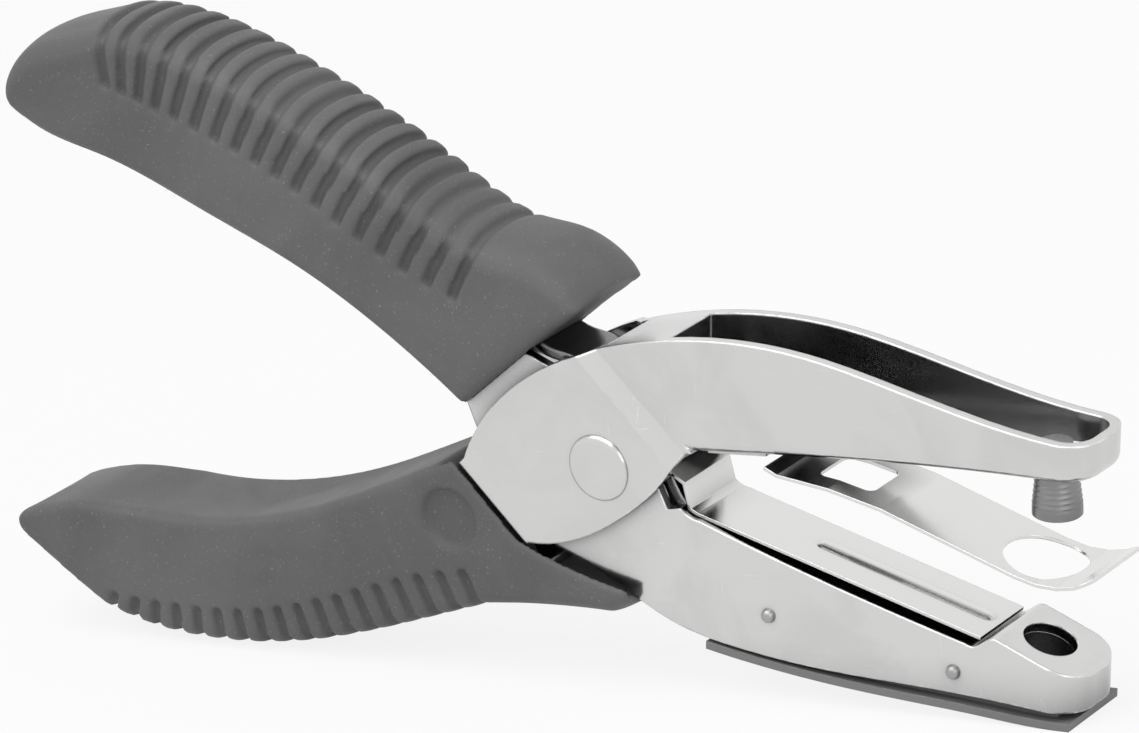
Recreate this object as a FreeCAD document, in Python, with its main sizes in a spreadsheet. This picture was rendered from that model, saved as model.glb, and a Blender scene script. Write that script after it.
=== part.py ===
"""One-hole hand punch, plier type, 1/4 inch hole.

Two pressed-steel levers cross at a rivet.  The outer lever carries the upper
jaw, the flat cheeks over the rivet and the lower handle; the inner lever
carries the lower jaw with the die, and the upper handle.  Both handles wear
soft ribbed grips, and a chip tray closes the open underside of the lower jaw.

Everything is first laid out around the rivet: origin on the rivet's axis in
the middle plane, +X towards the nose, +Y along the rivet, +Z up.  At the end
one placement stands the punch on its lower grip and tray, with the frame's
origin on the table below the middle of the whole object.
"""
import FreeCAD
import Part

import math
import os

import Sketcher

V = FreeCAD.Vector
doc = FreeCAD.newDocument("HandPunch")

# ---------------------------------------------------------------- the sheet
sheet = doc.addObject("Spreadsheet::Sheet", "Sizes")
SIZES = [
    ("gauge", 1.4, "thickness of the pressed steel"),
    ("cheek_half", 7.75, "rivet axis: middle to the outside of a cheek"),
    ("lever_half", 6.2, "middle to the outside of the inner lever"),
    ("jaw_half", 6.1, "middle to the outside of the upper jaw and handle"),
    ("nose_corner", 4.6, "corner radius of both noses seen from above"),
    ("bend_outer", 1.7, "outside bend radius of the pressed channels"),
    ("grip_half", 8.6, "middle to the outside of a grip"),
    ("grip_fit", 0.03, "clearance of a grip around its handle"),
    ("groove_wide", 1.5, "width of one grip groove"),
    ("groove_deep", 1.2, "depth of one grip groove"),
    ("groove_count", 18, "grooves on each grip"),
    ("hole_size", 6.35, "hole the punch makes, one quarter inch"),
    ("die_clear", 0.33, "radial clearance of the die around the pin"),
    ("die_reach", 62.8, "rivet to the die axis, along the jaw"),
    ("die_rise", 6.43, "rivet to the die face, along the die axis"),
    ("die_lean", 15.5, "slope of the die face, nose down, degrees"),
    ("squeeze", 18.3, "angle the levers close through, degrees"),
    ("pin_bite", 2.8, "depth the pin goes into the die when closed"),
    ("pin_long", 7.4, "length of the pin below the jaw"),
    ("pin_neck", 5.3, "diameter of the pin at the jaw"),
    ("bush_wall", 1.1, "wall of the die bush"),
    ("bush_long", 3.2, "length of the die bush"),
    ("shank", 5.0, "diameter of the pivot rivet"),
    ("head_wide", 9.0, "diameter of the rivet heads"),
    ("head_tall", 0.7, "height of the rivet heads"),
    ("run_fit", 0.05, "radial running clearance on the rivet"),
    ("spacer_wide", 7.6, "diameter of the pivot spacer"),
    ("wire", 1.4, "wire of the return spring"),
    ("coil_mean", 4.95, "mean radius of the spring coil"),
    ("coil_turns", 4, "turns of the spring coil"),
    ("leaf", 0.45, "thickness of the two spring leaves"),
    ("plate_half", 6.6, "half width of the stripper plate"),
    ("plate_hole", 10.9, "hole in the stripper plate"),
    ("guide_half", 5.3, "half width of the paper guide leaf"),
    ("peg", 1.7, "diameter of the two tray pins"),
    ("peg_proud", 0.8, "length a tray pin stands out of the wall"),
    ("tray_skin", 1.1, "wall of the chip tray"),
    ("tray_play", 0.35, "gap between the tray and the jaw walls"),
]
for row, (name, value, note) in enumerate(SIZES, start=1):
    sheet.set("A%d" % row, name)
    sheet.set("B%d" % row, str(value))
    sheet.set("C%d" % row, note)
    sheet.setAlias("B%d" % row, name)
doc.recompute()


def size(name):
    """Value of one named cell."""
    return float(sheet.get(name))


def tie(obj, prop, rule):
    """Bind a property to the sheet; names in braces become its cells."""
    for name, _, _ in SIZES:
        rule = rule.replace("{%s}" % name, "Sizes.%s" % name)
    obj.setExpression(prop, rule)


# ------------------------------------------------------- outlines in side view
def spot(pair, side=0.0):
    return V(pair[0], side, pair[1])


def curve(points):
    """Smooth edge through side-view points (a straight one for two)."""
    if len(points) == 2:
        return Part.makeLine(spot(points[0]), spot(points[1]))
    line = Part.BSplineCurve()
    line.interpolate([spot(p) for p in points])
    return line.toShape()


def slab(parts, low, high):
    """Solid between two side planes; parts is a closed chain of curves."""
    edges = [curve(points) for points in parts]
    face = Part.Face(Part.Wire(edges))
    face.translate(V(0, low, 0))
    return face.extrude(V(0, high - low, 0))


def both(shape):
    """A shape together with its mirror image across the middle plane."""
    return shape, shape.mirror(V(0, 0, 0), V(0, 1, 0))


def turned(pair, degrees):
    """Side-view point turned about the rivet, nose up for plus."""
    a = math.radians(degrees)
    x, z = pair
    return x * math.cos(a) - z * math.sin(a), x * math.sin(a) + z * math.cos(a)


def plan_block(back, front, half, corner):
    """Upright block with its two front corners rounded, seen from above."""
    face = Part.Face(Part.makePolygon([
        V(back, -half, -80), V(front, -half, -80), V(front, half, -80),
        V(back, half, -80), V(back, -half, -80)]))
    block = face.extrude(V(0, 0, 160))
    sharp = [e for e in block.Edges
             if abs(e.Vertexes[0].X - front) < 1e-6
             and abs(e.Vertexes[-1].X - front) < 1e-6
             and abs(e.BoundBox.ZLength - 160) < 1e-6]
    return block.makeFillet(corner, sharp)


def soften(shape, radius, wanted):
    """Fillet the edges for which wanted(edge) is true."""
    edges = [e for e in shape.Edges if wanted(e)]
    return shape.makeFillet(radius, edges)


def feature(label, shape):
    """One document object for a shape made with Part's own functions."""
    obj = doc.addObject("Part::Feature", label)
    obj.Label = label
    obj.Shape = shape.removeSplitter()
    return obj


gauge = size("gauge")
cheek_half = size("cheek_half")
lever_half = size("lever_half")
jaw_half = size("jaw_half")
leaf = size("leaf")

# ------------------------------------------------- shared side-view landmarks
# the upper jaw and the cheeks, on the outer lever
CREST = [(-21.0, -3.9), (-15.9, 5.2), (-6.5, 13.0), (4.2, 17.7), (17.4, 20.9),
         (30, 21.6), (42.7, 20.4), (53, 19.2), (70, 19.0)]
JAW_UNDER = [(70, 13.9), (61.5, 12.9), (45.3, 10.6), (31.6, 8.2), (11.9, 4.3)]
CHEEK_FRONT = [(11.9, 4.3), (8.9, -0.6), (3.4, -6.2), (-2.7, -10.6), (-11.1, -13.4)]
JOG_LEAN = 50.0      # direction across the two joggles, degrees from +X
JOG_FRONT = 8.8      # rivet axis to the front joggle
JOG_BACK = 17.6      # rivet axis to the back joggle
JOG_LONG = 2.0       # length of each joggle
# the lower handle, inside the lower grip
LOW_OPEN = [(-21.0, -3.9), (-27, -10.0), (-34.5, -15.4), (-46, -20.0),
            (-60, -24.8), (-76, -27.6), (-86, -29.8)]
LOW_BACK = [(-86, -34.6), (-80, -38.2), (-66, -38.4), (-48, -34.7), (-32, -27.9),
            (-20, -22.4), (-12, -20.4)]
# the upper handle, inside the upper grip
UP_BACK = [(-86, 35.8), (-79, 40.4), (-70, 40.6), (-55, 37.3), (-39, 31.4),
           (-27, 25.8), (-18, 20.2), (-12.4, 14.6)]
UP_OPEN = [(-21.4, 3.3), (-26.3, 9.0), (-33.4, 12.9), (-46.9, 18.7), (-62.9, 23.4),
           (-77, 27.0), (-86, 30.2)]
# the pivot part and the throat of the inner lever
HUMP = [(-12.4, 14.6), (-9.5, 13.2), (-5.5, 12.8), (-2, 11.3), (2.2, 8.7),
        (5.6, 5.3), (8.2, 1.3), (10.2, -2.0), (11.8, -3.75), (14.2, -4.45)]
JAW_TOP = [(14.2, -4.45), (28, -7.2), (42, -9.5), (53.5, -11.1)]
EAR_BACK = [(-5.0, -14.1), (-11.5, -11.4), (-16.5, -6.0), (-21.4, 3.3)]
JAW_OPEN = [(69.2, -17.3), (56, -17.9), (45.6, -18.9), (35.6, -20.0), (20, -20.6),
            (9.8, -19.4), (3.5, -17.0), (-5.0, -14.1)]

die_lean = math.radians(size("die_lean"))
squeeze = size("squeeze")
along = (math.cos(die_lean), -math.sin(die_lean))
upward = (math.sin(die_lean), math.cos(die_lean))


def die_point(reach, rise):
    """Side-view point measured along the die face and square to it."""
    return (reach * along[0] + rise * upward[0],
            reach * along[1] + rise * upward[1])


die_reach = size("die_reach")
die_rise = size("die_rise")
die_spot = die_point(die_reach, die_rise)
BOSS_BACK = die_point(die_reach - 4.4, die_rise)
BOSS_NOSE = die_point(69.4 / along[0] - 2.2, die_rise)

# ------------------------------------------------------------ the outer lever
# One pressing.  Its two walls run at three distances from the middle: the jaw
# and the handle are channels of the same width, and the cheeks between them
# stand outside the inner lever behind a joggle at each end.
lean = math.radians(JOG_LEAN)
across = V(math.cos(lean), 0, math.sin(lean))
down_jog = V(-math.sin(lean), 0, math.cos(lean))


def wall_strip(inside):
    """Section of one wall through the joggles, swept along their direction."""
    cut = gauge if inside else 0.0
    stops = [(-120, jaw_half), (-JOG_BACK - JOG_LONG, jaw_half),
             (-JOG_BACK, cheek_half), (JOG_FRONT, cheek_half),
             (JOG_FRONT + JOG_LONG, jaw_half), (120, jaw_half)]
    rim = [across * run + V(0, -(side - cut), 0) for run, side in stops]
    return rim


outer_rim = wall_strip(False)
inner_rim = wall_strip(True)
section = Part.Face(Part.makePolygon(outer_rim + inner_rim[::-1] + [outer_rim[0]]))
section.translate(down_jog * -120)
near_sheet = section.extrude(down_jog * 240)

whole = slab([CREST, [CREST[-1], JAW_UNDER[0]], JAW_UNDER, CHEEK_FRONT,
              [CHEEK_FRONT[-1], LOW_BACK[-1]], LOW_BACK[::-1],
              [LOW_BACK[0], LOW_OPEN[-1]], LOW_OPEN[::-1]], -20, 20)


def half_space(run_from, run_to):
    """Block between two distances from the rivet, across the joggles."""
    block = Part.makeBox(run_to - run_from, 60, 260, V(run_from, -30, -130))
    block.rotate(V(0, 0, 0), V(0, 1, 0), -JOG_LEAN)
    return block


waist = half_space(-JOG_BACK - JOG_LONG - 1.0, JOG_FRONT + JOG_LONG + 1.0)
cheeks = [side.common(whole).common(waist) for side in both(near_sheet)]

# the jaw channel: open on top, closed round the nose
nose = 69.6
jaw_round = plan_block(-10, nose, jaw_half, size("nose_corner"))
jaw_block = whole.common(half_space(JOG_FRONT + JOG_LONG + 0.9, 140)).common(jaw_round)


def under_edge(edge):
    """Lower outside edges of the upper jaw, round its nose."""
    middle = edge.valueAt((edge.FirstParameter + edge.LastParameter) / 2)
    box = edge.BoundBox
    on_skin = abs(abs(middle.y) - jaw_half) < 1e-4 or middle.x > nose - size("nose_corner")
    return on_skin and box.ZMax < 14.6 and box.XMax > 20 and box.ZLength < 12


jaw_block = soften(jaw_block, size("bend_outer"), under_edge)
lift = [(x, z + gauge) for x, z in JAW_UNDER]
lift[0] = (lift[0][0] - gauge, lift[0][1])
lift[-1] = (lift[-1][0] - 3.0, lift[-1][1] - 0.6)
hollow = slab([lift, [lift[-1], (lift[-1][0], 40)], [(lift[-1][0], 40), (lift[0][0], 40)],
               [(lift[0][0], 40), lift[0]]], -(jaw_half - gauge), jaw_half - gauge)
hollow = hollow.common(plan_block(-10, nose - gauge, jaw_half - gauge,
                                  size("nose_corner") - gauge))
jaw_shell = jaw_block.cut(hollow)

# the handle channel: web on the back of the hand, open towards the other grip
grip_zone = half_space(-170, -JOG_BACK - JOG_LONG - 0.9)
handle_block = slab([LOW_OPEN, [LOW_OPEN[-1], LOW_BACK[0]], LOW_BACK,
                     [LOW_BACK[-1], LOW_OPEN[0]]], -jaw_half, jaw_half)
inset = [(x + 0.45 * gauge, z + gauge) for x, z in LOW_BACK]
handle_void = slab([inset, [inset[-1], (0, 20)], [(0, 20), (-110, 20)],
                    [(-110, 20), (-110, inset[0][1])], [(-110, inset[0][1]), inset[0]]],
                   -(jaw_half - gauge), jaw_half - gauge)
handle_shell = handle_block.cut(handle_void).common(grip_zone)

outer = cheeks[0].multiFuse([cheeks[1], jaw_shell, handle_shell])
shank = size("shank")
outer = outer.cut(Part.makeCylinder(shank / 2, 40, V(0, -20, 0), V(0, 1, 0)))

# the pin's seat: the pin's axis is the die's axis with the levers closed
pin_tip = turned(die_point(die_reach + 0.1, die_rise - size("pin_bite")), squeeze)
pin_lean = size("squeeze") - size("die_lean")
pin_axis = V(-math.sin(math.radians(pin_lean)), 0, math.cos(math.radians(pin_lean)))
pin_base = spot(pin_tip)
outer = outer.cut(Part.makeCylinder(size("pin_neck") / 2 - 0.6, 30, pin_base, pin_axis)
                  .common(Part.makeBox(20, 20, 8, V(52, -10, 9))))
outer_lever = feature("outer_lever", outer)

# ------------------------------------------------------------ the inner lever
# One pressing too: handle web, hump over the rivet, throat and jaw top are one
# strip; the walls hang from it, and flat ears carry the rivet.
boss_line = [BOSS_BACK, BOSS_NOSE]
ramp_low = JAW_TOP[-1]
RAMP = [ramp_low, (ramp_low[0] * 0.6 + BOSS_BACK[0] * 0.4, ramp_low[1] * 0.88 + BOSS_BACK[1] * 0.12),
        (ramp_low[0] * 0.25 + BOSS_BACK[0] * 0.75, ramp_low[1] * 0.2 + BOSS_BACK[1] * 0.8 + 0.1),
        BOSS_BACK]
front = 69.4
toe = [BOSS_NOSE, (front, BOSS_NOSE[1] - 0.4)]
inner_block = slab([UP_BACK, HUMP, JAW_TOP, RAMP, boss_line, toe,
                    [toe[-1], (front, JAW_OPEN[0][1])],
                    [(front, JAW_OPEN[0][1]), JAW_OPEN[0]], JAW_OPEN, EAR_BACK,
                    UP_OPEN, [UP_OPEN[-1], UP_BACK[0]]], -lever_half, lever_half)
inner_block = inner_block.common(plan_block(-120, front, lever_half, size("nose_corner")))


def web_line(drop):
    """The strip's inner side: the top outline lowered by the gauge."""
    chain = [UP_BACK, HUMP, JAW_TOP, RAMP, boss_line]
    lowered = []
    for points in chain:
        run = []
        for i, (x, z) in enumerate(points):
            before = points[max(i - 1, 0)]
            after = points[min(i + 1, len(points) - 1)]
            dx, dz = after[0] - before[0], after[1] - before[1]
            reach = math.hypot(dx, dz)
            run.append((x + drop * dz / reach, z - drop * dx / reach))
        lowered.append(run)
    for left, right in zip(lowered, lowered[1:]):
        meet = ((left[-1][0] + right[0][0]) / 2, (left[-1][1] + right[0][1]) / 2)
        left[-1] = meet
        right[0] = meet
    return lowered


under = web_line(gauge)
tail_x = under[0][0][0] - 3.0
toe_x = front - gauge
under[0][0] = (tail_x, under[0][0][1])
under[-1][-1] = (toe_x, under[-1][-1][1])
deep = -60
inner_void = slab(under + [[under[-1][-1], (toe_x, deep)], [(toe_x, deep), (tail_x, deep)],
                           [(tail_x, deep), under[0][0]]],
                  -(lever_half - gauge), lever_half - gauge)
inner_void = inner_void.common(plan_block(-120, toe_x, lever_half - gauge,
                                          size("nose_corner") - gauge))
inner = inner_block.cut(inner_void)

# beside the hump the strip is narrower than the walls: a slot on each side
slot_in = lever_half - gauge - 0.35
EAR_TOP = [(-13.0, 12.6), (-8.0, 11.2), (-1.0, 8.6), (4.2, 4.6), (7.6, -0.6),
           (9.4, -4.0)]
slot_cut = slab([EAR_TOP, [EAR_TOP[-1], (14.0, -2.6)], [(14.0, -2.6), (10.0, 16.0)],
                 [(10.0, 16.0), (-13.0, 16.0)], [(-13.0, 16.0), EAR_TOP[0]]],
                -lever_half - 1, -slot_in)
for piece in both(slot_cut):
    inner = inner.cut(piece)
inner = inner.cut(Part.makeCylinder(shank / 2 + size("run_fit"), 40, V(0, -20, 0), V(0, 1, 0)))
die_bore = size("hole_size") / 2 + size("die_clear")
die_axis = V(upward[0], 0, upward[1])
inner = inner.cut(Part.makeCylinder(die_bore, 6, spot(die_spot) - die_axis * 3, die_axis))
REAR_PEG = (24.8, -14.9)
FRONT_PEG = (52.0, -15.4)
for peg in (REAR_PEG, FRONT_PEG):
    inner = inner.cut(Part.makeCylinder(size("peg") / 2, 40, spot(peg, -20), V(0, 1, 0)))
inner_lever = feature("inner_lever", inner)

# ----------------------------------------------------- turned and drawn pieces
def body_on(label, role):
    """A PartDesign body with one empty sketch on an origin plane."""
    body = doc.addObject("PartDesign::Body", label)
    body.Label = label
    sketch = body.newObject("Sketcher::SketchObject", label + "_sketch")
    plane = [f for f in body.Origin.OriginFeatures if f.Role == role][0]
    sketch.AttachmentSupport = [(plane, "")]
    sketch.MapMode = "FlatFace"
    return body, sketch


def ring_pad(label, outer_rule, inner_rule, length_rule):
    """Tube or bar standing on the body's XY plane, middle at its origin."""
    body, sketch = body_on(label, "XY_Plane")
    rules = [outer_rule] + ([inner_rule] if inner_rule else [])
    for radius_guess, rule in zip((3.0, 2.0), rules):
        index = sketch.addGeometry(Part.Circle(V(0, 0, 0), V(0, 0, 1), radius_guess), False)
        sketch.addConstraint(Sketcher.Constraint("Coincident", index, 3, -1, 1))
        row = sketch.addConstraint(Sketcher.Constraint("Radius", index, radius_guess))
        tie(sketch, "Constraints[%d]" % row, rule)
    pad = body.newObject("PartDesign::Pad", label + "_pad")
    pad.Profile = sketch
    pad.SideType = "Symmetric"
    tie(pad, "Length", length_rule)
    doc.recompute()
    return body, pad


def round_ends(body, feature_obj, radius_rule):
    """Round both outer rims of a plain bar."""
    rims = ["Edge%d" % (i + 1) for i, e in enumerate(feature_obj.Shape.Edges)
            if isinstance(e.Curve, Part.Circle)]
    fillet = body.newObject("PartDesign::Fillet", body.Label + "_rims")
    fillet.Base = (feature_obj, rims)
    tie(fillet, "Radius", radius_rule)
    doc.recompute()


along_y = FreeCAD.Rotation(V(1, 0, 0), -90)

# pivot spacer: a tube that keeps the ears apart and carries the coil
spacer, _ = ring_pad("pivot_spacer", "{spacer_wide} / 2", "{shank} / 2 + {run_fit}",
                     "2 * ({lever_half} - {gauge}) - 0.04")
spacer_at = FreeCAD.Placement(V(0, 0, 0), along_y)

# tray pins: plain bars through both walls with rounded ends
pegs = []
for label, centre in (("tray_rear_pin", REAR_PEG), ("tray_front_pin", FRONT_PEG)):
    bar, bar_pad = ring_pad(label, "{peg} / 2", None, "2 * ({lever_half} + {peg_proud})")
    round_ends(bar, bar_pad, "{peg} * 0.28")
    pegs.append((bar, FreeCAD.Placement(spot(centre), along_y)))

# die bush: a hard ring under the boss, bore a little wider than the pin
bush, _ = ring_pad("die_bush", "{hole_size} / 2 + {die_clear} + {bush_wall}",
                   "{hole_size} / 2 + {die_clear}", "{bush_long}")
bush_drop = gauge + size("bush_long") / 2 + 0.02
bush_at = FreeCAD.Placement(spot(die_spot) - die_axis * bush_drop,
                            FreeCAD.Rotation(V(0, 1, 0), size("die_lean")))


def turned_body(label, points, rules):
    """Revolved piece: a closed half outline in the XZ plane about Z.

    points are (radius, height) guesses, the first and last on the axis; rules
    give the driving expression of each point's radius and height or None.
    """
    body, sketch = body_on(label, "XZ_Plane")
    count = len(points)
    for i in range(count):
        a, b = points[i], points[(i + 1) % count]
        sketch.addGeometry(Part.LineSegment(V(a[0], a[1], 0), V(b[0], b[1], 0)), False)
    for i in range(count):
        sketch.addConstraint(Sketcher.Constraint("Coincident", i, 2, (i + 1) % count, 1))
    for i, (radius_rule, height_rule) in enumerate(rules):
        for kind, value, rule in (("DistanceX", points[i][0], radius_rule),
                                  ("DistanceY", points[i][1], height_rule)):
            if abs(value) < 1e-9:
                on_axis = -2 if kind == "DistanceX" else -1
                sketch.addConstraint(Sketcher.Constraint("PointOnObject", i, 1, on_axis))
                continue
            if value > 0:
                con = Sketcher.Constraint(kind, -1, 1, i, 1, value)
            else:
                con = Sketcher.Constraint(kind, i, 1, -1, 1, -value)
            row = sketch.addConstraint(con)
            tie(sketch, "Constraints[%d]" % row, rule if value > 0 else "-(%s)" % rule)
    spin = body.newObject("PartDesign::Revolution", label + "_turn")
    spin.Profile = sketch
    spin.ReferenceAxis = (sketch, ["V_Axis"])
    spin.Angle = 360
    doc.recompute()
    return body


# pivot rivet: shank through both levers, a low dome on each cheek
reach = cheek_half + size("head_tall")
dome = "({cheek_half} + {head_tall})"
seat = "({cheek_half} + 0.02)"
step = "({cheek_half} + {head_tall} * 0.55)"
rivet_points = [(0, -reach), (3.2, -reach), (4.5, -8.1), (4.5, -7.77), (2.5, -7.77),
                (2.5, 7.77), (4.5, 7.77), (4.5, 8.1), (3.2, reach), (0, reach)]
rivet_rules = [
    ("0", "-" + dome), ("{head_wide} * 0.36", "-" + dome),
    ("{head_wide} / 2", "-" + step), ("{head_wide} / 2", "-" + seat),
    ("{shank} / 2", "-" + seat), ("{shank} / 2", seat),
    ("{head_wide} / 2", seat), ("{head_wide} / 2", step),
    ("{head_wide} * 0.36", dome), ("0", dome)]
rivet = turned_body("pivot_rivet", rivet_points, rivet_rules)

# punch pin: narrow at the jaw, full size at its hollow-ground tip; a stud with
# a riveted head holds it in the jaw's web
pin_long = size("pin_long")
stud = size("pin_neck") / 2 - 0.6
tip_r = size("hole_size") / 2
web_top = pin_long + 2.4
pin_points = [(0, 0.5), (tip_r, 0.0), (tip_r, 1.3), (2.65, pin_long - 1.4),
              (2.65, pin_long), (stud, pin_long), (stud, web_top), (0, web_top)]
pin_rules = [
    ("0", "0.5"), ("{hole_size} / 2", "0"), ("{hole_size} / 2", "1.3"),
    ("{pin_neck} / 2", "{pin_long} - 1.4"), ("{pin_neck} / 2", "{pin_long}"),
    ("{pin_neck} / 2 - 0.6", "{pin_long}"), ("{pin_neck} / 2 - 0.6", "{pin_long} + 2.4"),
    ("0", "{pin_long} + 2.4")]
pin = turned_body("punch_pin", pin_points, pin_rules)
pin_at = FreeCAD.Placement(pin_base, FreeCAD.Rotation(V(0, 1, 0), -pin_lean))

# ------------------------------------------------------------- the two leaves
# paper guide: strip on the lower jaw with a stiffening bead, turned up at the
# throat as the stop for the paper's edge, with a short lip bent back on top
GUIDE = [(8.9, 1.05), (11.5, -0.1), (12.45, -3.45), (13.6, -3.85), (55.3, -10.05)]


def strip(points, half, thick):
    """Bent strip from the side-view line of its upper face."""
    below = []
    for i, (x, z) in enumerate(points):
        a = points[max(i - 1, 0)]
        b = points[min(i + 1, len(points) - 1)]
        first = math.atan2(z - a[1], x - a[0]) if i else None
        last = math.atan2(b[1] - z, b[0] - x) if i < len(points) - 1 else None
        if first is None:
            first = last
        if last is None:
            last = first
        middle = (first + last) / 2
        off = thick / math.cos((last - first) / 2)
        below.append((x + off * math.sin(middle), z - off * math.cos(middle)))
    ring = [spot(p, -half) for p in points + below[::-1] + points[:1]]
    return Part.Face(Part.makePolygon(ring)).extrude(V(0, 2 * half, 0))


guide = strip(GUIDE, size("guide_half"), leaf)
bead_dir = V(GUIDE[4][0] - GUIDE[3][0], 0, GUIDE[4][1] - GUIDE[3][1]).normalize()
bead_up = V(-bead_dir.z, 0, bead_dir.x)
bead_from = spot(GUIDE[3]) + bead_dir * 16 - bead_up * 1.55
bead = Part.makeCylinder(2.0, 24, bead_from, bead_dir)
bead = bead.fuse([Part.makeSphere(2.0, bead_from),
                  Part.makeSphere(2.0, bead_from + bead_dir * 24)])
above = Part.makeBox(60, 20, 5, V(0, -10, 0))
above.Placement = FreeCAD.Placement(spot(GUIDE[3]) - bead_up * (leaf * 0.6),
                                    FreeCAD.Rotation(V(0, 1, 0),
                                                     math.degrees(math.atan2(-bead_dir.z, bead_dir.x))))
paper_guide = feature("paper_guide", guide.fuse(bead.common(above)))

# stripper: a flat tab welded under the upper jaw, and the plate that springs
# down from it, forked at the back, holed for the pin and turned up in front
HINGE = (23.9, 5.75)
TAB = [(14.2, 4.85 - 0.03), (22.9, 6.50 - 0.03)]
stripper_tab = feature("stripper_tab", strip(TAB, jaw_half - gauge - 0.4, leaf))

PLATE = [(24.15, 5.75), (26.0, 5.15), (33.5, 5.15), (41.2, 4.35), (60.5, 0.25), (63.6, -0.1),
         (66.4, 0.15), (68.9, 0.9), (71.0, 2.1)]
plate_half = size("plate_half")
plate = strip(PLATE, plate_half, leaf)
hole_at = (61.3, 0.0)
plate = plate.cut(Part.makeCylinder(size("plate_hole") / 2, 8, V(hole_at[0], 0, hole_at[1] - 4)))
window = Part.makeBox(8.0, 2 * (plate_half - 3.0), 12, V(30.2, -(plate_half - 3.0), 0))
window = window.makeFillet(1.2, [e for e in window.Edges if e.BoundBox.ZLength > 11])
plate = plate.cut(window)
plate = plate.common(plan_block(0, 71.6, plate_half, 2.4))
stripper_plate = feature("stripper_plate", plate)

# ------------------------------------------------------------------ chip tray
# moulded tray: curved floor under the jaw's open side and a low wall standing
# inside the channel, slotted to snap over the two pins
TRAY_FLOOR = [(15.4, -22.1), (25, -22.3), (35.2, -22.0), (45.2, -21.3), (55.2, -20.5),
              (62.7, -20.0), (68.6, -19.2)]
skin = size("tray_skin")
roof = [(x, z + skin) for x, z in TRAY_FLOOR]
roof_side = [(x, z + skin) for x, z in TRAY_FLOOR]
floor = slab([TRAY_FLOOR, [TRAY_FLOOR[-1], roof_side[-1]], roof_side[::-1],
              [roof_side[0], TRAY_FLOOR[0]]], -lever_half + 0.1, lever_half - 0.1)
box_half = lever_half - gauge - size("tray_play")
WALL_TOP = [(17.2, -13.2), (54.5, -13.2), (56.0, -16.3), (66.0, -16.5)]
core_line = TRAY_FLOOR[:-1] + [(66.6, -19.5)]
low_line = [(17.2, -21.7)] + [(x, z + skin / 2) for x, z in TRAY_FLOOR[1:-1]] + [(66.0, -19.0)]


def wall_block(half, shrink):
    """Block under the tray's wall line, shrunk at both ends."""
    ends = [(WALL_TOP[0][0] + shrink, WALL_TOP[0][1])] + WALL_TOP[1:3]
    ends = ends + [(WALL_TOP[3][0] - shrink, WALL_TOP[3][1])]
    foot = [(ends[0][0], low_line[0][1])] + low_line[1:-1] + [(ends[3][0], low_line[-1][1])]
    chain = [[ends[i], ends[i + 1]] for i in range(3)]
    return slab(chain + [[ends[3], foot[-1]]]
                + [[foot[i + 1], foot[i]] for i in range(len(foot) - 2, -1, -1)]
                + [[foot[0], ends[0]]], -half, half)


walls = wall_block(box_half, 0).cut(wall_block(box_half - 0.9, 0.9))
tray = floor.fuse(walls)
snap = size("peg") / 2 + 0.2
for peg, back_off in ((REAR_PEG, 5.0), (FRONT_PEG, 1.6)):
    tray = tray.cut(Part.makeCylinder(snap, 30, spot(peg, -15), V(0, 1, 0)))
    top = WALL_TOP[0][1] + 2
    slot = Part.makePolygon([spot(p, -15) for p in (
        (peg[0] + snap, peg[1]), (peg[0] + snap, top), (peg[0] - snap - back_off, top),
        (peg[0] - snap, peg[1]), (peg[0] + snap, peg[1]))])
    tray = tray.cut(Part.Face(slot).extrude(V(0, 30, 0)))
chip_tray = feature("chip_tray", tray)

# -------------------------------------------------------------- return spring
coil_r = size("coil_mean")
wire = size("wire")
pitch = wire * 1.1


def tangent_angle(target, sign):
    """Angle round the coil where a straight leg to the target leaves it."""
    far = math.hypot(*target)
    return math.atan2(target[1], target[0]) + sign * math.acos(coil_r / far)


UP_FOOT = (-25.5, 21.9)
LOW_FOOT = (-22.5, -21.2)
leave_up = tangent_angle(UP_FOOT, -1)
leave_low = tangent_angle(LOW_FOOT, 1)
sweep = 2 * math.pi * size("coil_turns") + (leave_up - leave_low) % (2 * math.pi)
coil_wide = pitch * sweep / (2 * math.pi)
helix = Part.makeHelix(pitch, coil_wide, coil_r)
helix.translate(V(0, 0, -coil_wide / 2))
helix.rotate(V(0, 0, 0), V(1, 0, 0), -90)
helix.rotate(V(0, 0, 0), V(0, 1, 0), -math.degrees(leave_up))
ends = [v.Point for v in helix.Vertexes]
ends.sort(key=lambda p: p.y)
coil_path = Part.Wire(helix.Edges)
start_dir = spot(UP_FOOT, ends[0].y) - ends[0]
round_wire = Part.Wire(Part.makeCircle(wire / 2, ends[0], start_dir))
spring = coil_path.makePipeShell([round_wire], True, True)
for end, foot, share in ((ends[0], UP_FOOT, 0.32), (ends[1], LOW_FOOT, 0.55)):
    leg = (spot(foot, end.y) - end) * share
    spring = spring.fuse([Part.makeCylinder(wire / 2, leg.Length, end, leg),
                          Part.makeSphere(wire / 2, end)])
return_spring = feature("return_spring", spring)

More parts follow.
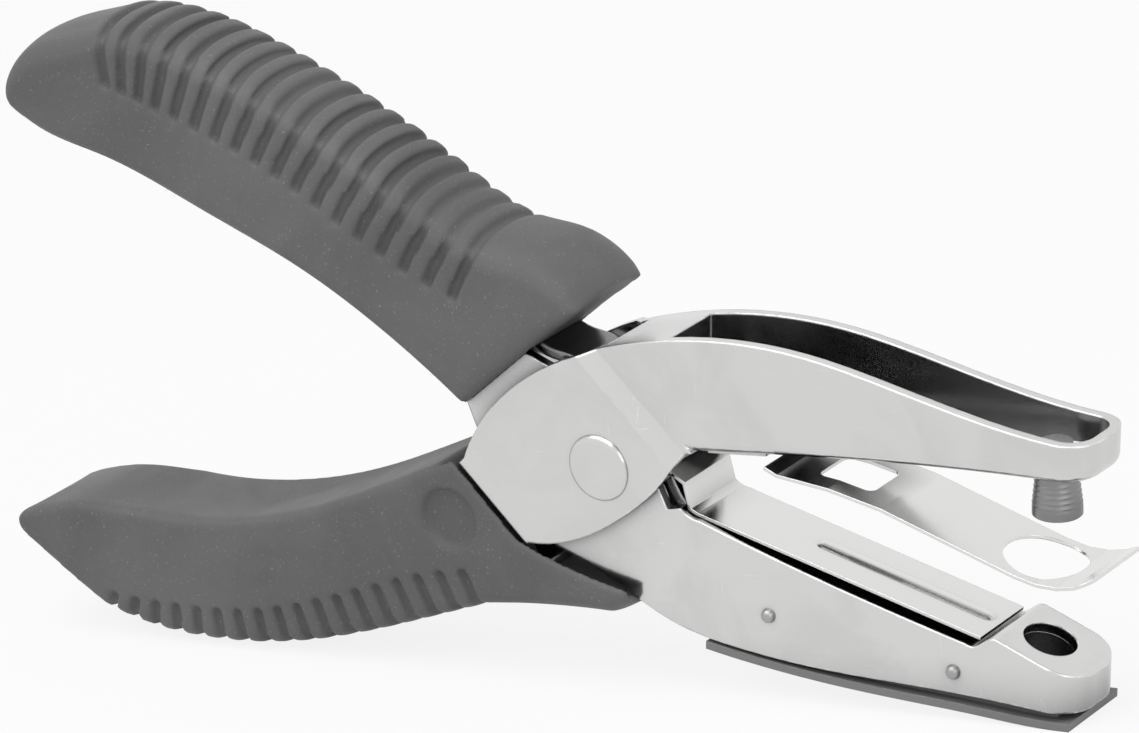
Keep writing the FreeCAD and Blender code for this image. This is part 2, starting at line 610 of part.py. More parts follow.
# ---------------------------------------------------------------------- grips
grip_half = size("grip_half")
fit = size("grip_fit")
groove_deep = size("groove_deep")
groove_wide = size("groove_wide")
U_TAIL = [(-94.6, 29.4), (-95.6, 32.0), (-94.3, 36.2), (-87.2, 41.0), (-80.2, 43.8)]
U_RIBS = [(-80.2, 43.8), (-70.9, 44.3), (-62.7, 42.9), (-46.7, 38.1), (-30.9, 31.6), (-18.3, 27.0)]
U_GUARD = [(-18.3, 27.0), (-12.0, 26.9), (-6.4, 24.9), (-3.4, 21.5)]
U_RIM = [(-3.4, 21.5), (-5.6, 18.9), (-21.3, 3.4)]
U_BELLY = [(-21.3, 3.4), (-26.3, 6.5), (-33.4, 10.4), (-46.9, 16.3), (-62.9, 21.0),
           (-79.3, 25.1), (-90.0, 26.9), (-94.6, 29.4)]
U_ENDS = [(-84, 37.2), (-69, 33.8), (-54, 30.1), (-30, 20.2), (-17, 17.4)]
L_TAIL = [(-94.9, -34.0), (-95.7, -31.6), (-91.5, -28.5), (-83.0, -26.0), (-75, -24.9)]
L_BELLY = [(-75, -24.9), (-58.5, -22.0), (-45, -16.8), (-34, -10.8), (-22.6, -4.2)]
L_RIM = [(-22.6, -4.2), (-12.4, -13.0), (-6.3, -14.6), (0.75, -16.1), (5.0, -16.6)]
L_GUARD = [(5.0, -16.6), (5.2, -18.6), (2.2, -20.7)]
L_FLOOR = [(2.2, -20.7), (-7.0, -22.2), (-17.5, -24.7)]
L_RIBS = [(-17.5, -24.7), (-31.6, -31.5), (-48, -38.4), (-64.9, -42.2), (-74, -42.5),
          (-80.6, -41.6)]
L_HEEL = [(-80.6, -41.6), (-86.0, -39.0), (-94.9, -34.0)]
L_ENDS = [(-84, -39.0), (-69, -37.6), (-54, -34.2), (-30, -23.0), (-16, -18.6)]


def polyline(points):
    return [[points[i], points[i + 1]] for i in range(len(points) - 1)]


def rounded(shape, half, back_r):
    """Round the long outside edges of a grip blank."""
    def wanted(edge):
        box = edge.BoundBox
        on_side = abs(abs(box.YMin) - half) < 1e-4 and box.YLength < 1e-4
        return on_side
    edges = [e for e in shape.Edges if wanted(e)]
    return shape.makeFillet(back_r, edges)


def grooves(ribs, ends, away, core):
    """Slots square to the rib line, down to the line of groove ends."""
    edge = curve(ribs)
    total = edge.Length
    count = int(size("groove_count"))
    blades = []
    for i in range(count):
        where = edge.getParameterByLength(total * (i + 0.35) / (count - 0.3))
        point = edge.valueAt(where)
        along_rib = edge.tangentAt(where)
        turn = math.degrees(math.atan2(along_rib.z, along_rib.x))
        blade = Part.makeBox(groove_wide, 40, 44, V(-groove_wide / 2, -20, -22))
        blade.rotate(V(0, 0, 0), V(0, 1, 0), -turn)
        blade.translate(point)
        blades.append(blade)
    sky = ends[-1][0], away
    zone = slab([ends, [ends[-1], sky], [sky, (ends[0][0], away)],
                 [(ends[0][0], away), ends[0]]], -30, 30)
    return [blade.common(zone).cut(core) for blade in blades]


def groove_floor(ribs, drop):
    """Body the grooves stop at: the rib line sunk by the groove depth."""
    sunk = [(x, z + drop) for x, z in ribs]
    before = (sunk[0][0] + 6 * (1 if sunk[0][0] > sunk[-1][0] else -1), sunk[0][1] + 3.2 * drop)
    after = (sunk[-1][0] + 6 * (1 if sunk[-1][0] > sunk[0][0] else -1), sunk[-1][1] + 1.2 * drop)
    chain = [[before, sunk[0]], sunk, [sunk[-1], after], [after, (after[0], 0)],
             [(after[0], 0), (before[0], 0)], [(before[0], 0), before]]
    return slab(chain, -(grip_half - groove_deep), grip_half - groove_deep)


# upper grip
blank = slab([U_TAIL, U_RIBS + U_GUARD[1:]] + polyline(U_RIM) + [U_BELLY], -grip_half, grip_half)
upper = rounded(blank, grip_half, 2.2)
sleeve = slab([UP_BACK, [UP_BACK[-1], (-4, 6)], [(-4, 6), (-12, -6)], [(-12, -6), UP_OPEN[0]],
               UP_OPEN, [UP_OPEN[-1], UP_BACK[0]]], -(lever_half + fit), lever_half + fit)
upper = upper.cut(sleeve)
for slot in grooves(U_RIBS, U_ENDS, 70, groove_floor(U_RIBS, -groove_deep)):
    upper = upper.cut(slot)
upper_grip = feature("upper_grip", upper)

# lower grip, with the bare round size mark near its front
blank = slab([L_TAIL, L_BELLY] + polyline(L_RIM) + polyline(L_GUARD)
             + [L_FLOOR, L_RIBS, L_HEEL], -grip_half, grip_half)
lower = rounded(blank, grip_half, 1.4)
sleeve = slab([LOW_OPEN, [LOW_OPEN[-1], LOW_BACK[0]], LOW_BACK,
               [LOW_BACK[-1], (-8, -16)], [(-8, -16), (-8, 4)], [(-8, 4), LOW_OPEN[0]]],
              -(jaw_half + fit), jaw_half + fit)
trough = slab([[(-26, -5.2), (-26, 6)], [(-26, 6), (20, 6)], [(20, 6), (20, -17.6)],
               [(20, -17.6), (2.0, -18.4), (-4.5, -19.2), (-9.2, -19.3)],
               [(-9.2, -19.3), (-26, -5.2)]], -(cheek_half + fit), cheek_half + fit)
mark = Part.makeCylinder(4.25, 0.5, V(-23.0, -grip_half, -12.8), V(0, 1, 0))
lower = lower.cut(sleeve).cut(trough).cut(mark)
for slot in grooves(L_RIBS, L_ENDS, -70, groove_floor(L_RIBS, groove_deep)):
    lower = lower.cut(slot)
lower_grip = feature("lower_grip", lower)

# ---------------------------------------------------------- standing placement
doc.recompute()
pieces = [(obj, FreeCAD.Placement()) for obj in (
    outer_lever, inner_lever, paper_guide, stripper_tab, stripper_plate, chip_tray,
    return_spring, upper_grip, lower_grip)]
pieces = pieces + [(rivet, FreeCAD.Placement(V(0, 0, 0), along_y)), (spacer, spacer_at),
                   (bush, bush_at), (pin, pin_at)] + pegs


def lowest(shape, tilt):
    """Lowest point of a shape with the whole punch tilted nose down."""
    copy = shape.copy()
    copy.rotate(V(0, 0, 0), V(0, 1, 0), tilt)
    return copy.BoundBox.ZMin


low, high = 4.0, 14.0
for _ in range(24):
    middle = (low + high) / 2
    if lowest(lower_grip.Shape, middle) < lowest(chip_tray.Shape, middle):
        low = middle
    else:
        high = middle
tilt = FreeCAD.Placement(V(0, 0, 0), FreeCAD.Rotation(V(0, 1, 0), middle))
for obj, own in pieces:
    obj.Placement = tilt.multiply(own)
doc.recompute()
span = FreeCAD.BoundBox()
for obj, _ in pieces:
    span.add(obj.Shape.BoundBox)
stand = FreeCAD.Placement(V(-(span.XMin + span.XMax) / 2, -(span.YMin + span.YMax) / 2,
                            -span.ZMin), FreeCAD.Rotation())
for obj, own in pieces:
    obj.Placement = stand.multiply(tilt).multiply(own)
doc.recompute()

# --------------------------------------------------------------------- output
for obj in doc.Objects:
    if "Invalid" in obj.State or "Error" in obj.State:
        raise RuntimeError("failed: " + obj.Label)
os.makedirs("parts", exist_ok=True)
for obj, _ in pieces:
    shape = obj.Shape
    if shape.isNull() or not shape.isValid() or not shape.Solids:
        raise RuntimeError("bad shape: " + obj.Label)
    if len(shape.Solids) == 1:
        shape = shape.Solids[0]
    shape.exportStep("parts/%s.step" % obj.Label)
    box = shape.BoundBox
    print("%-16s solids %d  volume %9.1f  x %6.1f %6.1f  y %5.1f %5.1f  z %6.1f %6.1f" % (
        obj.Label, len(shape.Solids), shape.Volume, box.XMin, box.XMax, box.YMin, box.YMax,
        box.ZMin, box.ZMax))
pivot = stand.multiply(tilt).multVec(V(0, 0, 0))
hinge = stand.multiply(tilt).multVec(spot(HINGE))
drop = stand.multiply(tilt).multVec(V(15.4, 0, -21.0))
print("tilt %.4f" % middle)
print("pivot %.3f %.3f, plate hinge %.3f %.3f, tray edge %.3f %.3f" % (
    pivot.x, pivot.z, hinge.x, hinge.z, drop.x, drop.z))
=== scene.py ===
"""Looks of a one-hole hand punch: two pressed steel levers crossed on a rivet,
a punch pin over a die, spring-steel leaves, a chip tray and two ribbed grips.
"""
import math

import bmesh
import bpy
from mathutils import Matrix, Vector


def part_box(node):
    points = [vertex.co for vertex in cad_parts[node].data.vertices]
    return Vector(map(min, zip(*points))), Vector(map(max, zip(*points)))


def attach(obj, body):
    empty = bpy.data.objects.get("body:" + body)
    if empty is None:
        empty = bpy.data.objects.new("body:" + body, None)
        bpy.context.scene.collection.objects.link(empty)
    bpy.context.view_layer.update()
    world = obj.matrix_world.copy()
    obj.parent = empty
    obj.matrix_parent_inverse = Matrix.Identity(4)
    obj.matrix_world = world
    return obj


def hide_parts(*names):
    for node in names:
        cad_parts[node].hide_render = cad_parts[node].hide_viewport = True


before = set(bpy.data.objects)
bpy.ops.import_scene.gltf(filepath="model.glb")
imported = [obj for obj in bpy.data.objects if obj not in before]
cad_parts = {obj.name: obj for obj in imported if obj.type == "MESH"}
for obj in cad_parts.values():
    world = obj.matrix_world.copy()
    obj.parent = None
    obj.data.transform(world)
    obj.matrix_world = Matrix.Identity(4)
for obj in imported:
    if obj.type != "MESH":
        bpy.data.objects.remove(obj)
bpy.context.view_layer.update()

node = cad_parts

# ---------------------------------------------------------------- outer lever
# One pressing of 1.4 mm mild steel: open upper jaw, two flat cheeks that stand
# outside the other lever, and the lower handle.  Barrel-polished, then nickel
# plated: near-mirror smooth, brightest on its bends, with painted shade in its hollows.


def add(tree, kind, values=None, **traits):
    """New shader node with its settings, constants and incoming links."""
    made = tree.nodes.new(kind)
    for key, value in traits.items():
        setattr(made, key, value)
    for key, value in (values or {}).items():
        if isinstance(value, bpy.types.NodeSocket):
            tree.links.new(value, made.inputs[key])
        else:
            made.inputs[key].default_value = value
    return made


def group(name, inputs, outputs):
    """Empty shader group with named sockets, given as (kind, start value)."""
    tree = bpy.data.node_groups.new(name, "ShaderNodeTree")
    for label, (kind, start) in inputs.items():
        made = tree.interface.new_socket(label, in_out="INPUT", socket_type="NodeSocket" + kind)
        if start is not None:
            made.default_value = start
    for label, kind in outputs.items():
        tree.interface.new_socket(label, in_out="OUTPUT", socket_type="NodeSocket" + kind)
    return tree, tree.nodes.new("NodeGroupInput"), tree.nodes.new("NodeGroupOutput")


def math_node(tree, operation, a, b=0.0, clamp=False):
    made = add(tree, "ShaderNodeMath", {0: a, 1: b}, operation=operation, use_clamp=clamp)
    return made.outputs[0]


# edge rub: where a corner is worn bright, and the corner's own small rounding
rub, given, out = group(
    "edge rub", {"Radius": ("Float", 0.0003), "Width": ("Float", 0.25), "Patchy": ("Float", 600.0)},
    {"Edge": "Float", "Normal": "Vector"})
soft = add(rub, "ShaderNodeBevel", {"Radius": given.outputs["Radius"]}, samples=6)
flat = add(rub, "ShaderNodeNewGeometry")
facing = add(rub, "ShaderNodeVectorMath", {0: soft.outputs["Normal"], 1: flat.outputs["Normal"]},
             operation="DOT_PRODUCT")
off = math_node(rub, "SUBTRACT", 1.0, facing.outputs["Value"])
off = math_node(rub, "DIVIDE", off, given.outputs["Width"], clamp=True)
place = add(rub, "ShaderNodeTexCoord")
patch = add(rub, "ShaderNodeTexNoise", {"Vector": place.outputs["Object"],
            "Scale": given.outputs["Patchy"], "Detail": 4.0, "Roughness": 0.6})
patch = add(rub, "ShaderNodeMapRange", {"Value": patch.outputs["Fac"], "From Min": 0.38,
            "From Max": 0.62})
off = math_node(rub, "MULTIPLY", off, patch.outputs["Result"])
rub.links.new(off, out.inputs["Edge"])
rub.links.new(soft.outputs["Normal"], out.inputs["Normal"])

# painted shade: how deep a point lies inside a channel, slot or throat, as the mask for shade painted
# into these hollows
painted_shade, given, out = group("hollow grime", {"Reach": ("Float", 0.012), "Bite": ("Float", 0.55)},
                          {"Hollow": "Float"})
open_air = add(painted_shade, "ShaderNodeAmbientOcclusion", {"Distance": given.outputs["Reach"]}, samples=6)
deep = math_node(painted_shade, "SUBTRACT", 1.0, open_air.outputs["AO"])
deep = math_node(painted_shade, "DIVIDE", deep, given.outputs["Bite"], clamp=True)
deep = math_node(painted_shade, "POWER", deep, 1.5)
painted_shade.links.new(deep, out.inputs["Hollow"])

# handling marks: rolled grain, hairline scratches and the dull bloom of fingers
marks, given, out = group(
    "handling marks", {"Grain Scale": ("Float", 2600.0), "Stretch": ("Vector", (1.0, 1.0, 1.0)),
                       "Bloom Scale": ("Float", 55.0), "Scratch Scale": ("Float", 130.0)},
    {"Grain": "Float", "Scratch": "Float", "Bloom": "Float"})
place = add(marks, "ShaderNodeTexCoord")
drawn = add(marks, "ShaderNodeVectorMath", {0: place.outputs["Object"], 1: given.outputs["Stretch"]},
            operation="MULTIPLY")
grain = add(marks, "ShaderNodeTexNoise", {"Vector": drawn.outputs["Vector"],
            "Scale": given.outputs["Grain Scale"], "Detail": 5.0, "Roughness": 0.65})
bloom = add(marks, "ShaderNodeTexNoise", {"Vector": place.outputs["Object"],
            "Scale": given.outputs["Bloom Scale"], "Detail": 6.0, "Roughness": 0.55,
            "Distortion": 0.6})
bloom = add(marks, "ShaderNodeMapRange", {"Value": bloom.outputs["Fac"], "From Min": 0.35,
            "From Max": 0.7}, interpolation_type="SMOOTHSTEP")
lines = []
for turn, stretch in ((0.5, (1.0, 1.0, 26.0)), (-0.9, (22.0, 1.0, 1.0)), (1.3, (1.0, 18.0, 30.0))):
    lay = add(marks, "ShaderNodeMapping", {"Vector": place.outputs["Object"],
              "Rotation": (turn * 0.3, turn, turn * 0.7), "Scale": stretch})
    line = add(marks, "ShaderNodeTexNoise", {"Vector": lay.outputs["Vector"],
               "Scale": given.outputs["Scratch Scale"], "Detail": 3.0, "Roughness": 0.7})
    keen = add(marks, "ShaderNodeMapRange", {"Value": line.outputs["Fac"], "From Min": 0.69,
               "From Max": 0.74})
    lines.append(keen.outputs["Result"])
both = math_node(marks, "MAXIMUM", lines[0], lines[1])
both = math_node(marks, "MAXIMUM", both, lines[2])
marks.links.new(grain.outputs["Fac"], out.inputs["Grain"])
marks.links.new(both, out.inputs["Scratch"])
marks.links.new(bloom.outputs["Result"], out.inputs["Bloom"])


def finish_of(name, clean, dull, bright, gloss, metal=1.0, corner=0.0003, width=0.25,
              patchy=600.0, grain=2600.0, fleck=0.25, stretch=(1.0, 1.0, 1.0), bloom=55.0,
              scratch=130.0, depth=0.00002, handled=0.6, hollow=None, reach=0.012):
    """Worn surface: dull where handled, clean between, bright on its corners.

    gloss holds the roughness of the clean, the handled and the worn surface;
    hollow is the colour of the shade painted into the insides of channels.
    """
    made = bpy.data.materials.new(name)
    made.use_nodes = True
    tree = made.node_tree
    skin = tree.nodes["Principled BSDF"]
    skin.inputs["Metallic"].default_value = metal
    edge = add(tree, "ShaderNodeGroup", node_tree=rub)
    for key, value in (("Radius", corner), ("Width", width), ("Patchy", patchy)):
        edge.inputs[key].default_value = value
    mark = add(tree, "ShaderNodeGroup", node_tree=marks)
    for key, value in (("Grain Scale", grain), ("Stretch", stretch), ("Bloom Scale", bloom),
                       ("Scratch Scale", scratch)):
        mark.inputs[key].default_value = value
    speck = math_node(tree, "MULTIPLY", mark.outputs["Grain"], fleck)
    dim = math_node(tree, "MAXIMUM", math_node(tree, "MULTIPLY", mark.outputs["Bloom"], handled), speck)
    body = add(tree, "ShaderNodeMix", {0: dim, 6: (*clean, 1), 7: (*dull, 1)}, data_type="RGBA")
    # painted shade: the colour goes towards hollow where the occlusion mask finds a channel, slot or
    # throat
    if hollow:
        deep = add(tree, "ShaderNodeGroup", node_tree=painted_shade)
        deep.inputs["Reach"].default_value = reach
        body = add(tree, "ShaderNodeMix", {0: deep.outputs["Hollow"], 6: body.outputs[2],
                   7: (*hollow, 1)}, data_type="RGBA")
    shine = math_node(tree, "MAXIMUM", edge.outputs["Edge"],
                      math_node(tree, "MULTIPLY", mark.outputs["Scratch"], 0.3))
    worn = add(tree, "ShaderNodeMix", {0: shine, 6: body.outputs[2], 7: (*bright, 1)},
               data_type="RGBA")
    tree.links.new(worn.outputs[2], skin.inputs["Base Color"])
    rough = add(tree, "ShaderNodeMapRange", {"Value": mark.outputs["Bloom"], "To Min": gloss[0],
                "To Max": gloss[1]})
    rough = add(tree, "ShaderNodeMix", {0: shine, 2: rough.outputs["Result"], 3: gloss[2]})
    tree.links.new(rough.outputs[0], skin.inputs["Roughness"])
    relief = math_node(tree, "SUBTRACT", mark.outputs["Grain"],
                       math_node(tree, "MULTIPLY", mark.outputs["Scratch"], 0.5))
    dent = add(tree, "ShaderNodeBump", {"Height": relief, "Normal": edge.outputs["Normal"],
               "Strength": 1.0, "Distance": depth})
    tree.links.new(dent.outputs["Normal"], skin.inputs["Normal"])
    return made


def dress(label, finish):
    """Give a carried-over piece its finish in every slot."""
    for place in node[label].material_slots:
        place.material = finish


nickel = finish_of("polished nickel plate", clean=(0.66, 0.66, 0.655), dull=(0.57, 0.57, 0.565),
                   bright=(0.86, 0.86, 0.85), gloss=(0.15, 0.24, 0.10), corner=0.0005,
                   hollow=(0.45, 0.45, 0.45), depth=0.000006)
dress("outer_lever", nickel)

# ---------------------------------------------------------------- inner lever
# The other pressing, of the same plated sheet: upper handle, ears round the
# rivet, throat and lower jaw, with a raised boss that the die sits under.
# its throat and channel insides have shade painted in, nearly black
inner_nickel = finish_of("polished nickel plate, inner", clean=(0.67, 0.67, 0.665),
                         dull=(0.56, 0.56, 0.555), bright=(0.88, 0.88, 0.87),
                         gloss=(0.14, 0.24, 0.10), corner=0.0005, bloom=70.0,
                         hollow=(0.16, 0.16, 0.16), reach=0.009, depth=0.000006)
dress("inner_lever", inner_nickel)

# --------------------------------------------------------------- pivot spacer
# Cut steel tube, left bare and greased, between the ears; the spring's coil
# winds round it.  It is turned, so fine rings run round it.


def turned(name, body, centre, axis, profile, steps=72):
    """Piece of revolution: (radius, height) pairs spun round an axis."""
    mesh = bmesh.new()
    tilt = Vector((0, 0, 1)).rotation_difference(axis).to_matrix().to_4x4()
    stand = Matrix.Translation(centre) @ tilt
    row = [mesh.verts.new((r, 0, h)) for r, h in profile]
    runs = [mesh.edges.new(pair) for pair in zip(row, row[1:])]
    closed = profile[0][0] > 1e-9
    if closed:
        runs.append(mesh.edges.new((row[-1], row[0])))
    bmesh.ops.spin(mesh, geom=row + runs, cent=(0, 0, 0), axis=(0, 0, 1), dvec=(0, 0, 0),
                   angle=2 * math.pi, steps=steps, use_merge=True)
    bmesh.ops.remove_doubles(mesh, verts=mesh.verts, dist=1e-7)
    bmesh.ops.recalc_face_normals(mesh, faces=mesh.faces)
    bmesh.ops.transform(mesh, matrix=stand, verts=mesh.verts)
    data = bpy.data.meshes.new(name)
    for face in mesh.faces:
        face.smooth = True
    mesh.to_mesh(data)
    mesh.free()
    made = bpy.data.objects.new(name, data)
    bpy.context.scene.collection.objects.link(made)
    crisp = made.modifiers.new("crisp corners", "EDGE_SPLIT")
    crisp.split_angle = math.radians(38)
    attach(made, body)
    return made


def middle_of(label):
    low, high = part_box(label)
    low, high = Vector(low), Vector(high)
    return (low + high) / 2, high - low


along_rivet = Vector((0, 1, 0))
centre, size = middle_of("pivot_spacer")
outer_r, half = size.x / 2, size.y / 2
bore = 0.00255
spacer = turned("spacer_tube", "inner", centre, along_rivet, [
    (bore, -half), (outer_r - 0.0002, -half), (outer_r, -half + 0.0002), (outer_r, half - 0.0002),
    (outer_r - 0.0002, half), (bore, half)])
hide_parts("pivot_spacer")
bare = finish_of("bare turned steel", clean=(0.46, 0.46, 0.46), dull=(0.30, 0.30, 0.30),
                 bright=(0.66, 0.66, 0.65), gloss=(0.28, 0.45, 0.2), corner=0.00015,
                 grain=2200.0, stretch=(1.0, 7.0, 1.0))
spacer.data.materials.append(bare)

# ---------------------------------------------------------------- pivot rivet
# Plated steel rivet with a low spun head on each cheek; the riveting tool
# leaves a flat in the middle of the head and a faint ring round it.
centre, size = middle_of("pivot_rivet")
half, head, shank = size.y / 2, size.x / 2, 0.0025
cheek = half - 0.0007
profile = [(0, -half + 0.00006), (0.0012, -half + 0.00002), (0.0019, -half), (0.0028, -half + 0.00004),
           (0.0036, -half + 0.00014), (0.0041, -half + 0.00028), (head - 0.00012, -half + 0.00046),
           (head, -cheek - 0.00006), (head, -cheek - 0.00001), (shank, -cheek - 0.00001)]
rivet = turned("rivet", "outer", centre, along_rivet,
               profile + [(r, -h) for r, h in reversed(profile)])
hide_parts("pivot_rivet")
rivet.data.materials.append(nickel)

# -------------------------------------------------------------- return spring
# Music wire wound round the spacer, with a straight leg against each handle;
# drawn through a die, so it is dark and streaked along its length.
spring_wire = finish_of("drawn spring wire", clean=(0.36, 0.36, 0.37), dull=(0.22, 0.22, 0.23),
                        bright=(0.55, 0.55, 0.55), gloss=(0.3, 0.45, 0.24), corner=0.0001,
                        grain=3000.0)
dress("return_spring", spring_wire)

# ------------------------------------------------------------------- die bush
# Hardened ring pressed under the boss; ground on its faces, dark inside.
die_steel = finish_of("hardened die steel", clean=(0.40, 0.40, 0.41), dull=(0.27, 0.27, 0.28),
                      bright=(0.62, 0.62, 0.62), gloss=(0.25, 0.4, 0.18), corner=0.00015,
                      grain=3400.0)
dress("die_bush", die_steel)

# ------------------------------------------------------------------ punch pin
# Hardened tool-steel punch, turned with a narrow neck and ground hollow at the
# tip so that its rim shears the paper; its stud is riveted in the jaw.
pin_steel = finish_of("ground punch steel", clean=(0.30, 0.30, 0.30), dull=(0.16, 0.16, 0.16),
                      bright=(0.5, 0.5, 0.5), gloss=(0.30, 0.42, 0.2), corner=0.00012,
                      grain=1500.0, stretch=(1.0, 1.0, 9.0), fleck=0.7)
lean = math.radians(7.04)
up_pin = Vector((math.sin(lean), 0, math.cos(lean)))
low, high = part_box("punch_pin")
tip = 0.003175
centre = Vector((low[0] + tip * math.cos(lean), 0, low[2] + tip * math.sin(lean)))
profile = [(0, 0.0005), (0.0021, 0.00032), (0.0028, 0.00012), (tip - 0.00012, 0.0), (tip, 0.00012),
           (tip, 0.0010)]
for i in range(7):
    h = 0.0012 + i * 0.0007
    r = tip + (0.00265 - tip) * (h - 0.0012) / 0.0048
    profile += [(r, h), (r - 0.00009, h + 0.00018), (r - 0.00009, h + 0.00034), (r, h + 0.0005)]
profile += [(0.00265, 0.0062), (0.00265, 0.0073), (0.00205, 0.0074), (0.00205, 0.0097), (0, 0.0097)]
pin = turned("pin_shank", "outer", centre, up_pin, profile, steps=96)
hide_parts("punch_pin")
pin.data.materials.append(pin_steel)

# ------------------------------------------------- stripper plate and its tab
# Bright leaf of 0.45 mm spring steel that pushes the paper off the pin; its
# forked neck is spot-welded to a tab under the upper jaw.
# the hollows round these leaves, such as behind the guide's turned-up lip, have shade painted in,
# nearly black
leaf = finish_of("bright spring strip", clean=(0.74, 0.74, 0.73), dull=(0.66, 0.66, 0.65),
                 bright=(0.9, 0.9, 0.89), gloss=(0.14, 0.2, 0.10), corner=0.00018,
                 grain=700.0, stretch=(1.0, 14.0, 1.0), fleck=0.35, handled=0.2,
                 hollow=(0.16, 0.16, 0.16), reach=0.006, depth=0.000004)
dress("stripper_plate", leaf)
dress("stripper_tab", leaf)

# ---------------------------------------------------------------- paper guide
# Strip of the same bright sheet on the lower jaw, with a pressed bead and a
# turned-up back lip that stops the paper.
dress("paper_guide", leaf)

# ------------------------------------------------------------------ tray pins
# Plain plated wire pins through the jaw walls, cut and domed at both ends.
for label in ("tray_rear_pin", "tray_front_pin"):
    centre, size = middle_of(label)
    r, half = size.x / 2, size.y / 2
    peg = turned(label.replace("_pin", "_peg"), "inner", centre, along_rivet, [
        (0, -half), (r * 0.35, -half + r * 0.04), (r * 0.7, -half + r * 0.17),
        (r * 0.93, -half + r * 0.38), (r, -half + r * 0.6), (r, half - r * 0.6),
        (r * 0.93, half - r * 0.38), (r * 0.7, half - r * 0.17), (r * 0.35, half - r * 0.04),
        (0, half)], steps=40)
    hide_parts(label)
    peg.data.materials.append(bare)

# ------------------------------------------------------------------ chip tray
# Injection-moulded grey plastic drawer that snaps on the two pins and catches
# the chips; satin from its tool, with paper dust and scuffs from use.
tray_plastic = finish_of("satin grey plastic", clean=(0.175, 0.175, 0.178),
                         dull=(0.215, 0.215, 0.217), bright=(0.3, 0.3, 0.3),
                         gloss=(0.38, 0.52, 0.32), metal=0.0, corner=0.0003, grain=2400.0,
                         fleck=0.5, depth=0.00003)
dress("chip_tray", tray_plastic)

# ---------------------------------------------------------------------- grips
# Soft dark grey vinyl mouldings pushed over the handles, ribbed for the hand;
# the compound has pale mineral specks and goes lighter where it is rubbed.
speckle, given, out = group(
    "moulded speckle", {"Scale": ("Float", 2600.0), "Share": ("Float", 0.64)},
    {"Speck": "Float", "Grain": "Float"})
place = add(speckle, "ShaderNodeTexCoord")
dust = add(speckle, "ShaderNodeTexNoise", {"Vector": place.outputs["Object"],
           "Scale": given.outputs["Scale"], "Detail": 3.0, "Roughness": 0.6})
high = math_node(speckle, "ADD", given.outputs["Share"], 0.07)
dot = add(speckle, "ShaderNodeMapRange", {"Value": dust.outputs["Fac"],
          "From Min": given.outputs["Share"], "From Max": high})
fine = add(speckle, "ShaderNodeTexNoise", {"Vector": place.outputs["Object"],
           "Scale": 3800.0, "Detail": 4.0, "Roughness": 0.7})
speckle.links.new(dot.outputs["Result"], out.inputs["Speck"])
speckle.links.new(fine.outputs["Fac"], out.inputs["Grain"])

vinyl = bpy.data.materials.new("speckled vinyl")
vinyl.use_nodes = True
tree = vinyl.node_tree
skin = tree.nodes["Principled BSDF"]
edge = add(tree, "ShaderNodeGroup", node_tree=rub)
for key, value in (("Radius", 0.0004), ("Width", 0.3), ("Patchy", 260.0)):
    edge.inputs[key].default_value = value
mark = add(tree, "ShaderNodeGroup", node_tree=marks)
for key, value in (("Grain Scale", 1800.0), ("Bloom Scale", 45.0), ("Scratch Scale", 90.0)):
    mark.inputs[key].default_value = value
fleck = add(tree, "ShaderNodeGroup", node_tree=speckle)
for key, value in (("Scale", 2600.0), ("Share", 0.64)):
    fleck.inputs[key].default_value = value
base = add(tree, "ShaderNodeMix", {0: mark.outputs["Bloom"], 6: (0.106, 0.106, 0.108, 1),
           7: (0.130, 0.130, 0.131, 1)}, data_type="RGBA")
dotted = add(tree, "ShaderNodeMix", {0: math_node(tree, "MULTIPLY", fleck.outputs["Speck"], 0.5),
             6: base.outputs[2], 7: (0.34, 0.34, 0.34, 1)}, data_type="RGBA")
rubbed = add(tree, "ShaderNodeMix", {0: math_node(tree, "MULTIPLY", edge.outputs["Edge"], 0.55),
             6: dotted.outputs[2], 7: (0.27, 0.27, 0.27, 1)}, data_type="RGBA")
tree.links.new(rubbed.outputs[2], skin.inputs["Base Color"])
rough = add(tree, "ShaderNodeMapRange", {"Value": mark.outputs["Bloom"], "To Min": 0.62,
            "To Max": 0.5})
tree.links.new(rough.outputs["Result"], skin.inputs["Roughness"])
dent = add(tree, "ShaderNodeBump", {"Height": fleck.outputs["Grain"],
           "Normal": edge.outputs["Normal"], "Strength": 1.0, "Distance": 0.00006})
tree.links.new(dent.outputs["Normal"], skin.inputs["Normal"])


